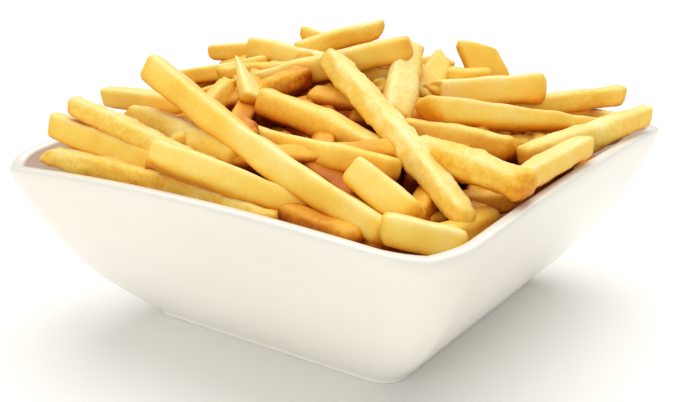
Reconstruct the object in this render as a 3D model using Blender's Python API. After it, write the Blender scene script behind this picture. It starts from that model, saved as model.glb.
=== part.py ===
"""A portion of french fries heaped in a square white porcelain bowl.

Two sub-parts: the bowl, lofted through rounded squares, and the heap, a smaller core
with the fries that show fused onto it. Lengths are written in millimetres and turned
to metres where a mesh is made. The origin is under the middle of the bowl, on the
surface it stands on; +Z is up, and the four sides face +X, -X, +Y and -Y.
"""

import math
import random
from typing import NamedTuple

import bmesh
import bpy
from mathutils import Matrix, Vector

MM = 0.001

# The bowl: half widths are from the middle to a side.
MOUTH_HALF = 80.0
RIM_Z = 53.8
RIM_LIFT = 4.3
SIDE_BOW = 2.2
RIM_WALL = 4.0
RIM_EDGE = 1.0
RIM_CORNER = 18.0
MOUTH_CORNER = 15.0
FOOT_HALF = 47.2
FOOT_CORNER = 7.5
FOOT_Z = 1.4
FOOT_EDGE = 0.5
WALL_START_HALF = 47.4
WALL_START_CORNER = 7.0
CORNER_GROWTH = 1.5
RECESS_HALF = 40.0
RECESS_CORNER = 7.0
RECESS_Z = 2.0
FLOOR_Z = 8.5
FLOOR_HALF = 40.0

# How far each end of a wall's curve is led straight on, as (outward, upward).
OUTER_LEAD_LOW = (10.1, 10.3)
OUTER_LEAD_HIGH = (-10.3, -30.6)
INNER_LEAD_LOW = (13.0, 3.5)
INNER_LEAD_HIGH = (-10.5, -29.0)

WALL_RINGS = 9
SIDE_STEPS = 7
CORNER_STEPS = 5

# The heap's own surface, on which the fries of its top layer lie.
HEAP_EDGE_Z = 55.0
HEAP_RISE = 27.0
HEAP_HALF = 79.0
HEAP_SQUARENESS = 2.6
HEAP_FALL = 2.6
HEAP_LEAN = -0.13
CORE_DEPTH = 12.0
CORE_EDGE_DEPTH = 6.5
CORE_GAP = 0.8
CORE_SHARES = (0.0, 0.25, 0.5, 0.75, 1.0)
CORE_TOP_RINGS = 6
CORE_SHOULDER_Z = 50.5
WALL_SAMPLES = 24

# The fries.
FRY_EDGE = 0.22
FRY_END = 0.86
LOOSE_TRIES = 3000
LOOSE_LENGTH = (32.0, 72.0)
LOOSE_SIDE = (6.6, 8.4)
LOOSE_ROLL = (-35.0, 35.0)
LOOSE_BOW = (-1.0, 1.5)
LOOSE_REACH = 70.0
LOOSE_STEEPEST = 0.45
SPOT_STEP = 5.0
WALL_CHECKS = 8
WALL_CLEARANCE = 0.9
HALF_SIDE_SHARE = 0.65
BACKWARD = (-0.6, 0.8)


class Fry(NamedTuple):
    """One fry, from one end's middle to the other's."""

    start: tuple
    end: tuple
    width: float
    depth: float
    roll: float = 0.0
    bow: float = 0.0
    start_taper: float = FRY_END
    end_taper: float = FRY_END


class Layer(NamedTuple):
    """Fries nobody placed by hand, dropped where the layer is still bare."""

    seed: int
    count: int
    sink: tuple
    spacing: float
    behind: float


# Behind is how far back from the middle, away from the front corner, a layer starts.
LAYERS = (
    Layer(seed=3, count=24, sink=(4.5, 8.0), spacing=8.0, behind=24.0),
    Layer(seed=11, count=16, sink=(9.5, 12.0), spacing=8.6, behind=-90.0),
)

# The fries that show from the front, named for where they lie.
PLACED_FRIES = {
    "long_front": Fry((-39, -46, 82), (54, -60, 51), 8.6, 8.2, 30, -2.0, 1.0),
    "long_over_corner": Fry((-1, -7, 82), (69, -47, 54), 8.0, 7.8, 20, 0.6, 0.95, 0.7),
    "long_upper": Fry((-48, -20, 66), (18, 9, 85.3), 7.8, 8.2, 5, 0.5, 0.8, 0.95),
    "top": Fry((-29, 12, 79), (-10, 36, 86), 7.0, 7.0, 10),
    "top_tip": Fry((-36, 25, 83), (-8, 29, 77), 5.6, 5.6, 20),
    "back_left_broad": Fry((-50, 12.3, 78.4), (-14, 12, 75), 9.0, 9.0, 12),
    "back_left_stub": Fry((-67, 9, 76), (-50, 24, 75), 6.2, 6.0, 15),
    "behind_long_front": Fry((-58, -23, 72), (-38, 6, 75), 6.2, 6.0, 15),
    "left_pale": Fry((-71.5, -37, 68), (-34, -36, 69), 7.6, 7.2, 0),
    "left_jagged": Fry((-49, -47, 66.8), (2, -55, 62), 8.8, 8.4, 25, 0.0, 0.8),
    "left_long": Fry((-59, -60.5, 71), (-2, -63.5, 60.5), 7.0, 6.4, 15, 0.0),
    "left_corner": Fry((-66.5, -62.5, 64.2), (-10, -63, 57), 9.2, 9.0, 18),
    "along_rim": Fry((-62.5, -69, 57), (24, -66, 50.5), 8.2, 7.8, 10, 0.8, 0.7, 0.7),
    "front_broad": Fry((-16.5, -70, 64), (29, -58, 51.5), 9.6, 8.4, 38, 0.0, FRY_END, 0.8),
    "wedge": Fry((-30, -18, 81.5), (-14, -29.5, 71.5), 9.2, 6.4, 30, 0.0, 0.2),
    "middle_broad": Fry((-10, -30, 72), (37, -30, 60), 9.4, 8.8, 10, 0.8, 0.95),
    "middle_low": Fry((-5, -42, 64), (44, -41, 61), 8.6, 8.0, 20),
    "near_bright": Fry((37, -50, 62.5), (58, -54, 54), 9.2, 9.0, 42),
    "near_stub": Fry((56, -66, 55.8), (71.5, -54, 50.5), 9.8, 8.4, 15, 0.0, FRY_END, 0.8),
    "upright": Fry((11.7, 18.6, 82.6), (27, -14, 67), 9.8, 8.8, 30),
    "back_wedge": Fry((18, 31, 78), (20, 12, 68), 8.8, 7.2, 20, 0.0, 0.8),
    "back_piece": Fry((18, 24, 73), (34, 33, 73), 6.6, 6.6, 0),
    "back_flat": Fry((24.3, 40, 81.5), (36, 37, 66), 12.0, 6.2, -32, 0.0, 0.95),
    "right_large": Fry((8, 13.7, 66.6), (54.3, 29.8, 71.9), 9.4, 9.4, 15, 0.0, 0.8, 0.95),
    "right_tapering": Fry((37, -12.2, 70.6), (69, 43, 59), 9.8, 9.2, 30, 0.0, 0.95, 0.45),
    "right_under": Fry((32, -18, 66), (60, -4, 61), 8.4, 7.8, 10),
    "right_back": Fry((42, 24, 65), (67, 64, 65), 7.0, 6.8, 10),
    "behind_corner": Fry((52, 60, 57.5), (74, 52.5, 58.3), 6.4, 6.2, 10),
    "right_corner": Fry((63, -4, 58.7), (77.8, 57, 60.7), 7.6, 7.8, 5, -0.3, FRY_END, 0.9),
    "rim_side": Fry((70.5, 4, 57.6), (72, 48, 57.2), 6.6, 6.6, 0),
    "over_right_rim": Fry((75, -36, 61.2), (77.6, 6, 62.4), 7.0, 6.2, 8),
    "near_right": Fry((43, -28, 65), (80.4, -37.6, 62.3), 9.0, 8.0, 4, 0.0, FRY_END, 0.92),
    "low_by_rim": Fry((24, -63, 52), (48, -65, 50), 7.0, 6.6, 0),
    "under_upper": Fry((-18, -12, 72), (6, -2, 67), 7.4, 7.0, 0),
    "under_crossing": Fry((-6, 4, 77), (13, 9, 74), 6.6, 6.4, 15),
    "right_low": Fry((45, -22, 60), (71, -16, 57.5), 7.2, 6.8, 10),
    "under_left_stub": Fry((-64, 12, 70), (-43, 18, 71), 6.6, 6.4, 10),
    "corner_low": Fry((55, -34, 52), (69, -20, 52), 7.2, 6.8, 0),
    "corner_deep": Fry((64, -60, 50), (70, -36, 51.5), 7.0, 6.8, 0),
    "left_middle_low": Fry((-34, -22, 69), (-12, -25, 68.5), 7.2, 6.8, 20),
}


def clear_scene():
    """Remove what the file opened with."""
    for thing in list(bpy.data.objects):
        bpy.data.objects.remove(thing, do_unlink=True)


def new_collection(name):
    """A collection linked to the scene."""
    collection = bpy.data.collections.new(name)
    bpy.context.scene.collection.children.link(collection)
    return collection


def new_material(name, colour, roughness):
    """A Principled material, with a linear colour."""
    material = bpy.data.materials.new(name)
    material.use_nodes = True
    shader = material.node_tree.nodes["Principled BSDF"]
    shader.inputs["Base Color"].default_value = (*colour, 1.0)
    shader.inputs["Roughness"].default_value = roughness
    shader.inputs["Metallic"].default_value = 0.0
    return material


def new_object(name, shape, collection, material):
    """An object made from a bmesh in millimetres, which is freed."""
    bmesh.ops.scale(shape, vec=Vector((MM, MM, MM)), verts=shape.verts)
    mesh = bpy.data.meshes.new(name)
    shape.to_mesh(mesh)
    shape.free()
    mesh.materials.append(material)
    thing = bpy.data.objects.new(name, mesh)
    collection.objects.link(thing)
    return thing


def curve_point(start, lead_out, lead_in, end, share):
    """A point of a wall's curve: share 0 is its low end, 1 its high end."""
    controls = (
        Vector(start),
        Vector(start) + Vector(lead_out),
        Vector(end) + Vector(lead_in),
        Vector(end),
    )
    rest = 1.0 - share
    weights = (rest**3, 3 * rest * rest * share, 3 * rest * share * share, share**3)
    return sum((w * c for w, c in zip(weights, controls)), Vector((0.0, 0.0)))


def outer_wall(share):
    """Half width and height on the outside of the wall."""
    low = (WALL_START_HALF, FOOT_Z)
    high = (MOUTH_HALF, RIM_Z - RIM_EDGE)
    return curve_point(low, OUTER_LEAD_LOW, OUTER_LEAD_HIGH, high, share)


def inner_wall(share):
    """Half width and height on the inside of the wall."""
    low = (FLOOR_HALF, FLOOR_Z)
    high = (MOUTH_HALF - RIM_WALL, RIM_Z - RIM_EDGE)
    return curve_point(low, INNER_LEAD_LOW, INNER_LEAD_HIGH, high, share)


def height_share(z):
    """0 at the foot, 1 at the rim."""
    return min(1.0, max(0.0, (z - FOOT_Z) / (RIM_Z - FOOT_Z)))


def corner_radius(low, high, z):
    """A wall's corner radius at a height: the corners open faster near the rim."""
    return low + (high - low) * height_share(z) ** CORNER_GROWTH


def ring(half, radius, z):
    """Points of a rounded square; near the rim its sides bow out and arch up."""
    straight = half - radius
    quarter = [
        Vector((half, straight * (2.0 * i / SIDE_STEPS - 1.0))) for i in range(SIDE_STEPS)
    ]
    for i in range(CORNER_STEPS):
        angle = 0.5 * math.pi * i / CORNER_STEPS
        quarter.append(
            Vector((straight + radius * math.cos(angle), straight + radius * math.sin(angle)))
        )
    share = height_share(z)
    points = []
    for side in range(4):
        turn = Matrix.Rotation(0.5 * math.pi * side, 2)
        for flat in quarter:
            near_diagonal = min(abs(flat.x), abs(flat.y)) / max(abs(flat.x), abs(flat.y))
            swell = share * (1.0 - near_diagonal**2)
            pushed = flat.copy()
            if abs(flat.x) >= abs(flat.y):
                pushed.x += SIDE_BOW * swell
            else:
                pushed.y += SIDE_BOW * swell
            placed = turn @ pushed
            points.append(Vector((placed.x, placed.y, z + RIM_LIFT * swell)))
    return points


def loft(rings):
    """A closed solid through rings of equal point count, the first ring lowest outside."""
    shape = bmesh.new()
    loops = [[shape.verts.new(p) for p in points] for points in rings]
    for low, high in zip(loops, loops[1:]):
        count = len(low)
        for i in range(count):
            shape.faces.new((low[i], low[(i + 1) % count], high[(i + 1) % count], high[i]))
    for loop, backwards in ((loops[0], True), (loops[-1], False)):
        middle = sum((v.co for v in loop), Vector()) / len(loop)
        hub = shape.verts.new(middle)
        for i, corner in enumerate(loop):
            following = loop[(i + 1) % len(loop)]
            shape.faces.new((following, corner, hub) if backwards else (corner, following, hub))
    return shape


def build_bowl(collection, material):
    """The bowl: recessed underside, low foot, curved wall, rounded rim, inner wall and floor."""
    recess_lip = RECESS_HALF + RECESS_Z
    rings = [
        ring(RECESS_HALF, RECESS_CORNER, RECESS_Z),
        ring(recess_lip, RECESS_CORNER, 0.0),
        ring(FOOT_HALF - FOOT_EDGE, FOOT_CORNER, 0.0),
        ring(FOOT_HALF, FOOT_CORNER, FOOT_EDGE),
        ring(FOOT_HALF, FOOT_CORNER, FOOT_Z - FOOT_EDGE),
    ]
    for i in range(WALL_RINGS):
        half, z = outer_wall(i / (WALL_RINGS - 1))
        rings.append(ring(half, corner_radius(WALL_START_CORNER, RIM_CORNER, z), z))
    rings.append(ring(MOUTH_HALF - RIM_EDGE, RIM_CORNER - RIM_EDGE, RIM_Z))
    inner_edge = MOUTH_HALF - RIM_WALL + RIM_EDGE
    rings.append(ring(inner_edge, MOUTH_CORNER + RIM_EDGE, RIM_Z))
    for i in reversed(range(WALL_RINGS)):
        half, z = inner_wall(i / (WALL_RINGS - 1))
        rings.append(ring(half, corner_radius(WALL_START_CORNER, MOUTH_CORNER, z), z))
    bowl = new_object("bowl", loft(rings), collection, material)
    bowl.data.shade_smooth()
    bowl.data.set_sharp_from_angle(angle=math.radians(35.0))
    return bowl


def heap_reach(x, y):
    """0 in the middle of the heap, 1 where its surface meets the rim."""
    power = HEAP_SQUARENESS
    return ((abs(x) / HEAP_HALF) ** power + (abs(y) / HEAP_HALF) ** power) ** (1.0 / power)


def heap_height(x, y):
    """Height of the top layer's middles; the heap is higher towards -X."""
    rise = HEAP_RISE + HEAP_LEAN * x
    return HEAP_EDGE_Z + rise * (1.0 - min(1.0, heap_reach(x, y)) ** HEAP_FALL)


def wall_limit(z):
    """Half width of the free space inside the bowl at a height."""
    samples = [inner_wall(i / WALL_SAMPLES) for i in range(WALL_SAMPLES + 1)]
    below = [half for half, height in samples if height <= z]
    return below[-1] if below else FLOOR_HALF


def core_shape():
    """What the fries rest on: it fills the bowl, and domes up under the top layer."""
    rings = []
    floor = FLOOR_Z + CORE_GAP
    for share in CORE_SHARES:
        z = floor + (CORE_SHOULDER_Z - floor) * share
        half = wall_limit(z) - CORE_GAP
        rings.append(ring(half, corner_radius(WALL_START_CORNER, MOUTH_CORNER, z), z))
    shoulder = rings[-1]
    for i in range(1, CORE_TOP_RINGS):
        scale = 1.0 - i / CORE_TOP_RINGS
        loop = []
        for point in shoulder:
            x, y = point.x * scale, point.y * scale
            depth = CORE_DEPTH + (CORE_EDGE_DEPTH - CORE_DEPTH) * min(1.0, heap_reach(x, y)) ** 2
            loop.append(Vector((x, y, max(point.z, heap_height(x, y) - depth))))
        rings.append(loop)
    return loft(rings)


def fry_shape(fry):
    """A few-sided stick with softened edges, thinner at its ends, bowed and put in place."""
    start, end = Vector(fry.start), Vector(fry.end)
    along = end - start
    length = along.length
    along.normalize()
    side = Vector((0.0, 0.0, 1.0)).cross(along).normalized()
    above = along.cross(side)
    shape = bmesh.new()
    bmesh.ops.create_cube(shape, size=1.0)
    bmesh.ops.scale(shape, vec=Vector((length, fry.width, fry.depth)), verts=shape.verts)
    bmesh.ops.bevel(
        shape,
        geom=shape.edges[:],
        offset=FRY_EDGE * min(fry.width, fry.depth),
        offset_type="OFFSET",
        segments=1,
        profile=0.5,
        affect="EDGES",
        clamp_overlap=True,
        material=-1,
    )
    for station in (-length / 6.0, length / 6.0):
        whole = shape.verts[:] + shape.edges[:] + shape.faces[:]
        bmesh.ops.bisect_plane(
            shape, geom=whole, dist=1e-5, plane_co=(station, 0.0, 0.0), plane_no=(1.0, 0.0, 0.0)
        )
    for vertex in shape.verts:
        share = 2.0 * vertex.co.x / length
        taper = fry.end_taper if share > 0.0 else fry.start_taper
        scale = 1.0 + (taper - 1.0) * max(0.0, (abs(share) - 1.0 / 3.0) * 1.5)
        vertex.co.y *= scale
        vertex.co.z = vertex.co.z * scale + fry.bow * (1.0 - share * share)
    roll = Matrix.Rotation(math.radians(-fry.roll), 4, "X")
    place = Matrix((along, side, above)).transposed().to_4x4()
    move = Matrix.Translation((start + end) / 2.0)
    bmesh.ops.transform(shape, matrix=move @ place @ roll, verts=shape.verts)
    return shape


def clears_bowl(fry):
    """Whether a fry keeps off the wall and rim, and within the bowl's outline."""
    start, end = Vector(fry.start), Vector(fry.end)
    half_side = HALF_SIDE_SHARE * max(fry.width, fry.depth)
    for i in range(WALL_CHECKS + 1):
        point = start.lerp(end, i / WALL_CHECKS)
        low = point.z - half_side
        over_rim = low > RIM_Z + RIM_LIFT + WALL_CLEARANCE
        limit = MOUTH_HALF if over_rim else wall_limit(low) - WALL_CLEARANCE
        past_x = abs(point.x) - (limit - MOUTH_CORNER)
        past_y = abs(point.y) - (limit - MOUTH_CORNER)
        in_corner = past_x > 0.0 and past_y > 0.0
        reach = math.hypot(past_x, past_y) if in_corner else max(past_x, past_y)
        if reach > MOUTH_CORNER - half_side:
            return False
    return True


def spots_of(fry):
    """Points along a fry, a few millimetres apart."""
    start, end = Vector(fry.start), Vector(fry.end)
    steps = max(2, round((end - start).length / SPOT_STEP))
    return [start.lerp(end, i / steps) for i in range(steps + 1)]


def dropped_fry(draw, layer):
    """A fry somewhere on the heap, tilted as the surface under it falls."""
    x, y = draw.uniform(-LOOSE_REACH, LOOSE_REACH), draw.uniform(-LOOSE_REACH, LOOSE_REACH)
    heading = draw.uniform(0.0, math.pi)
    half_length = draw.uniform(*LOOSE_LENGTH) / 2.0
    width, depth = draw.uniform(*LOOSE_SIDE), draw.uniform(*LOOSE_SIDE)
    sink = draw.uniform(*layer.sink)
    roll, bow = draw.uniform(*LOOSE_ROLL), draw.uniform(*LOOSE_BOW)
    step = Vector((math.cos(heading), math.sin(heading), 0.0)) * half_length
    middle = Vector((x, y, heap_height(x, y) - sink))
    fall = heap_height(x + step.x, y + step.y) - heap_height(x - step.x, y - step.y)
    steepest = LOOSE_STEEPEST * half_length
    step.z = max(-steepest, min(steepest, fall / 2.0))
    return Fry(tuple(middle - step), tuple(middle + step), width, depth, roll, bow)


def loose_fries(placed):
    """Every layer's fries, each kept where its middle lies on a bare spot."""
    spots = [spot for fry in placed for spot in spots_of(fry)]
    found = []
    for layer in LAYERS:
        draw = random.Random(layer.seed)
        kept = 0
        for _ in range(LOOSE_TRIES):
            fry = dropped_fry(draw, layer)
            start, end = Vector(fry.start), Vector(fry.end)
            middle = start.lerp(end, 0.5)
            if min(p.xy.dot(Vector(BACKWARD)) for p in (start, end)) < layer.behind:
                continue
            if min((middle - spot).length for spot in spots) < layer.spacing:
                continue
            if not clears_bowl(fry):
                continue
            found.append(fry)
            spots += spots_of(fry)
            kept += 1
            if kept == layer.count:
                break
    return found


def keep_outer_body(thing):
    """Drop the skins of sealed hollows and any loose scrap, keeping the largest body."""
    shape = bmesh.new()
    shape.from_mesh(thing.data)
    unseen = set(shape.faces)
    bodies = []
    while unseen:
        body = [unseen.pop()]
        for face in body:
            for edge in face.edges:
                for other in edge.link_faces:
                    if other in unseen:
                        unseen.remove(other)
                        body.append(other)
        bodies.append(body)
    bodies.sort(key=len)
    spare = [face for body in bodies[:-1] for face in body]
    bmesh.ops.delete(shape, geom=spare, context="FACES")
    shape.to_mesh(thing.data)
    shape.free()


def build_heap(collection, material):
    """The heap: one Boolean union of the core and every fry."""
    pieces = new_collection("fry_pieces")
    placed = list(PLACED_FRIES.values())
    for i, fry in enumerate(placed + loose_fries(placed)):
        new_object(f"fry_{i}", fry_shape(fry), pieces, material)
    heap = new_object("fries", core_shape(), collection, material)
    union = heap.modifiers.new("fries_joined", "BOOLEAN")
    union.operation = "UNION"
    union.operand_type = "COLLECTION"
    union.collection = pieces
    union.solver = "EXACT"
    joined = heap.evaluated_get(bpy.context.evaluated_depsgraph_get())
    heap.data = bpy.data.meshes.new_from_object(joined)
    heap.modifiers.remove(union)
    for piece in list(pieces.objects):
        bpy.data.objects.remove(piece, do_unlink=True)
    bpy.data.collections.remove(pieces)
    keep_outer_body(heap)
    return heap


def main():
    """Build both sub-parts."""
    clear_scene()
    portion = new_collection("french_fries_portion")
    porcelain = new_material("white_porcelain", (0.90, 0.87, 0.79), 0.18)
    potato = new_material("fried_potato", (0.80, 0.47, 0.10), 0.5)
    build_bowl(portion, porcelain)
    build_heap(portion, potato)


main()
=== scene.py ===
"""French fries heaped in a square white porcelain bowl, on a white studio floor.

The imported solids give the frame: the bowl's own smooth shell and the real fries stand
where the two solids stand. Lengths are in millimetres in the code and are turned to
metres as each mesh is made.
"""

import logging
import math
import random
from dataclasses import dataclass, field
from enum import Enum

import bmesh
import bpy
from mathutils import Matrix, Vector, noise


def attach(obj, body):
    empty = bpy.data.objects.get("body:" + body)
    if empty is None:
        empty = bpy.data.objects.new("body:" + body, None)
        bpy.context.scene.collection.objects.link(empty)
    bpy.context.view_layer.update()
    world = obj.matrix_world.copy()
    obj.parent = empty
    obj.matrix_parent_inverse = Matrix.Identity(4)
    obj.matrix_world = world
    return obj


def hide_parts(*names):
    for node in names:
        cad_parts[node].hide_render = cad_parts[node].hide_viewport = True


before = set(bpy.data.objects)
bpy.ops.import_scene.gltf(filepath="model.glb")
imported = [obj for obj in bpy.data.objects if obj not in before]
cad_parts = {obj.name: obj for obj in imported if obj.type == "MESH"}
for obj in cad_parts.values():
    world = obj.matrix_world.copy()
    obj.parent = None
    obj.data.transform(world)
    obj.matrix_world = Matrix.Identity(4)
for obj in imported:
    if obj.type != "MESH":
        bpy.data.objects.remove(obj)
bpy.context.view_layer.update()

MM = 0.001
BODY = "root"
PHOTO_SIZE = (675, 402)

Colour = tuple[float, float, float, float]
Material = bpy.types.Material
Shape = bmesh.types.BMesh
Socket = bpy.types.NodeSocket
Tree = bpy.types.NodeTree
log = logging.getLogger("french_fries")


def linear(code: str) -> Colour:
    """Turn an sRGB hex colour to linear light.

    Args:
        code: the colour as "#RRGGBB".

    Returns:
        Red, green, blue and an alpha of 1.
    """
    channels = [int(code[i : i + 2], 16) / 255.0 for i in (1, 3, 5)]
    light = [c / 12.92 if c <= 0.04045 else ((c + 0.055) / 1.055) ** 2.4 for c in channels]
    return (light[0], light[1], light[2], 1.0)


def per_metre(size_mm: float) -> float:
    """Return the texture scale, in repeats a metre, of a pattern this many mm across."""
    return 1.0 / (size_mm * MM)


def add_node(
    tree: Tree,
    kind: str,
    settings: dict[str | int, object] | None = None,
    links: dict[str | int, Socket] | None = None,
) -> bpy.types.Node:
    """Add a node with its settings and its incoming links.

    Args:
        tree: the node tree to add to.
        kind: the node's type name.
        settings: input sockets, by name or number, or the node's own properties, with values.
        links: input sockets, by name or number, with the output that feeds each.

    Returns:
        The new node.
    """
    node = tree.nodes.new(kind)
    for name, value in (settings or {}).items():
        if isinstance(name, int) or name in node.inputs:
            node.inputs[name].default_value = value
        else:
            setattr(node, name, value)
    for name, source in (links or {}).items():
        tree.links.new(source, node.inputs[name])
    return node


def add_ramp(tree: Tree, factor: Socket, stops: tuple[tuple[float, str], ...]) -> Socket:
    """Add a colour ramp.

    Args:
        tree: the node tree to add to.
        factor: what picks the colour.
        stops: position and hex colour of each stop, in order.

    Returns:
        The ramp's colour.
    """
    node = add_node(tree, "ShaderNodeValToRGB", links={"Fac": factor})
    elements = node.color_ramp.elements
    while len(elements) < len(stops):
        elements.new(0.5)
    for element, (position, code) in zip(elements, stops):
        element.position = position
        element.color = linear(code)
    return node.outputs["Color"]


def start_material(name: str) -> tuple[Material, bpy.types.Node, Socket]:
    """Start a material.

    Args:
        name: what it is made of.

    Returns:
        The material, its shader, and the place on the piece that its patterns follow.
    """
    material = bpy.data.materials.new(name)
    material.use_nodes = True
    tree = material.node_tree
    shader = tree.nodes["Principled BSDF"]
    return material, shader, add_node(tree, "ShaderNodeTexCoord").outputs["Object"]


def add_clouds(
    tree: Tree, place: Socket, size_mm: float, detail: float, roughness: float = 0.5
) -> Socket:
    """Add a soft cloudy pattern.

    Args:
        tree: the node tree to add to.
        place: what the pattern follows.
        size_mm: how far its patches lie apart.
        detail: how many layers of finer patches lie over them.
        roughness: how strong the finer patches are.

    Returns:
        The pattern, from 0 to 1.
    """
    settings = {"Scale": per_metre(size_mm), "Detail": detail, "Roughness": roughness}
    return add_node(tree, "ShaderNodeTexNoise", settings, {"Vector": place}).outputs["Fac"]


def add_relief(
    tree: Tree, shader: bpy.types.Node, pattern: Socket, depth_mm: float, strength: float
) -> None:
    """Let a pattern stand out from a shader's surface.

    Args:
        tree: the node tree to add to.
        shader: the shader.
        pattern: how high each point is, from 0 to 1.
        depth_mm: how far it stands out.
        strength: how much of that shows.
    """
    settings = {"Strength": strength, "Distance": depth_mm * MM}
    bump = add_node(tree, "ShaderNodeBump", settings, {"Height": pattern})
    tree.links.new(bump.outputs["Normal"], shader.inputs["Normal"])


def smoothstep(low: float, high: float, value: float) -> float:
    """Rise smoothly from 0 at low to 1 at high."""
    share = min(1.0, max(0.0, (value - low) / (high - low)))
    return share * share * (3.0 - 2.0 * share)


def extruded(levels: list[list[Vector]]) -> Shape:
    """Extrude one loop of edges from level to level and close both ends.

    Args:
        levels: loops of equally many points, from one end to the other.

    Returns:
        A closed solid.
    """
    shape = bmesh.new()
    loop = bmesh.ops.create_circle(shape, segments=len(levels[0]), radius=1.0)["verts"]
    first = list(loop)
    edges = shape.edges[:]
    for vertex, point in zip(loop, levels[0]):
        vertex.co = point
    for points in levels[1:]:
        made = bmesh.ops.extrude_edge_only(shape, edges=edges)["geom"]
        fresh = {v for v in made if isinstance(v, bmesh.types.BMVert)}
        edges = [
            e
            for e in made
            if isinstance(e, bmesh.types.BMEdge) and e.verts[0] in fresh and e.verts[1] in fresh
        ]
        loop = [next(e.other_vert(v) for e in v.link_edges if e.other_vert(v) in fresh) for v in loop]
        for vertex, point in zip(loop, points):
            vertex.co = point
    for rim in (first, loop):
        bmesh.ops.contextual_create(shape, geom=rim)
    bmesh.ops.recalc_face_normals(shape, faces=shape.faces[:])
    return shape


def finished_piece(
    name: str, shape: Shape, materials: tuple[Material, ...], node: str
) -> bpy.types.Object:
    """Turn a bmesh in millimetres into a smooth piece that rides on the body.

    Args:
        name: the piece's name.
        shape: the mesh, which is freed.
        materials: the materials, in the order of the faces' material numbers.
        node: the CAD node that the piece stands for.

    Returns:
        The new object.
    """
    bmesh.ops.scale(shape, vec=Vector((MM, MM, MM)), verts=shape.verts)
    mesh = bpy.data.meshes.new(name)
    shape.to_mesh(mesh)
    shape.free()
    for material in materials:
        mesh.materials.append(material)
    mesh.shade_smooth()
    piece = bpy.data.objects.new(name, mesh)
    bpy.context.scene.collection.objects.link(piece)
    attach(piece, BODY)
    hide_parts(node)
    log.info("%s: %d faces", name, len(mesh.polygons))
    return piece


@dataclass(frozen=True)
class GlazedPorcelain:
    """White glazed porcelain: a warm white body under a clear, slightly uneven glaze.

    The glaze gives soft highlights on the rim and corners. Its colour is painted greyer up near
    the rim, as painted shade, and whiter low on the wall, as painted light against the shade at its base.
    """

    name: str = "glazed_porcelain"
    # Painted shade near the rim and painted light low on the wall, each over soft clouds.
    upper_glaze_painted_dim: str = "#EFECE1"
    upper_cloud_painted_dim: str = "#EAE6D9"
    lower_glaze_painted_light: str = "#FAF9F0"
    lower_cloud_painted_light: str = "#F6F4E9"
    painted_light_low_z: float = 6.0
    painted_dim_high_z: float = 46.0
    roughness: float = 0.16
    glaze_ior: float = 1.5
    cloud_mm: float = 60.0
    ripple_mm: float = 9.0
    ripple_depth: float = 0.05
    ripple_strength: float = 0.25

    def make(self) -> Material:
        """Make the glaze.

        Returns:
            The new material.
        """
        material, shader, place = start_material(self.name)
        tree = material.node_tree
        clouds = add_clouds(tree, place, self.cloud_mm, 2.0)
        upper_tint = add_ramp(tree, clouds, ((0.3, self.upper_glaze_painted_dim), (0.7, self.upper_cloud_painted_dim)))
        lower_tint = add_ramp(tree, clouds, ((0.3, self.lower_glaze_painted_light), (0.7, self.lower_cloud_painted_light)))
        # Painted light and shade by height: the lighter lower colour fades to the dimmer upper colour as
        # the wall rises.
        height = add_node(tree, "ShaderNodeSeparateXYZ", links={"Vector": place}).outputs["Z"]
        heights = {"From Min": self.painted_light_low_z * MM, "From Max": self.painted_dim_high_z * MM}
        rise = add_node(tree, "ShaderNodeMapRange", heights, {"Value": height}).outputs["Result"]
        mixed = add_node(
            tree, "ShaderNodeMix", {"data_type": "RGBA"}, {"Factor": rise, "A": lower_tint, "B": upper_tint}
        )
        tree.links.new(mixed.outputs["Result"], shader.inputs["Base Color"])
        ripple = add_clouds(tree, place, self.ripple_mm, 1.0)
        add_relief(tree, shader, ripple, self.ripple_depth, self.ripple_strength)
        shader.inputs["Roughness"].default_value = self.roughness
        shader.inputs["IOR"].default_value = self.glaze_ior
        return material


@dataclass(frozen=True)
class BareBisque:
    """Unglazed porcelain on the foot ring, wiped clean of glaze: matt, gritty, a little grey."""

    name: str = "bare_bisque"
    clay: str = "#E9E2D4"
    worn_clay: str = "#CFC6B5"
    roughness: float = 0.75
    grit_mm: float = 0.8
    grit_depth: float = 0.1
    grit_strength: float = 0.5

    def make(self) -> Material:
        """Make the bare clay.

        Returns:
            The new material.
        """
        material, shader, place = start_material(self.name)
        tree = material.node_tree
        grit = add_clouds(tree, place, self.grit_mm, 4.0)
        tint = add_ramp(tree, grit, ((0.35, self.clay), (0.75, self.worn_clay)))
        tree.links.new(tint, shader.inputs["Base Color"])
        add_relief(tree, shader, grit, self.grit_depth, self.grit_strength)
        shader.inputs["Roughness"].default_value = self.roughness
        return material


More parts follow.
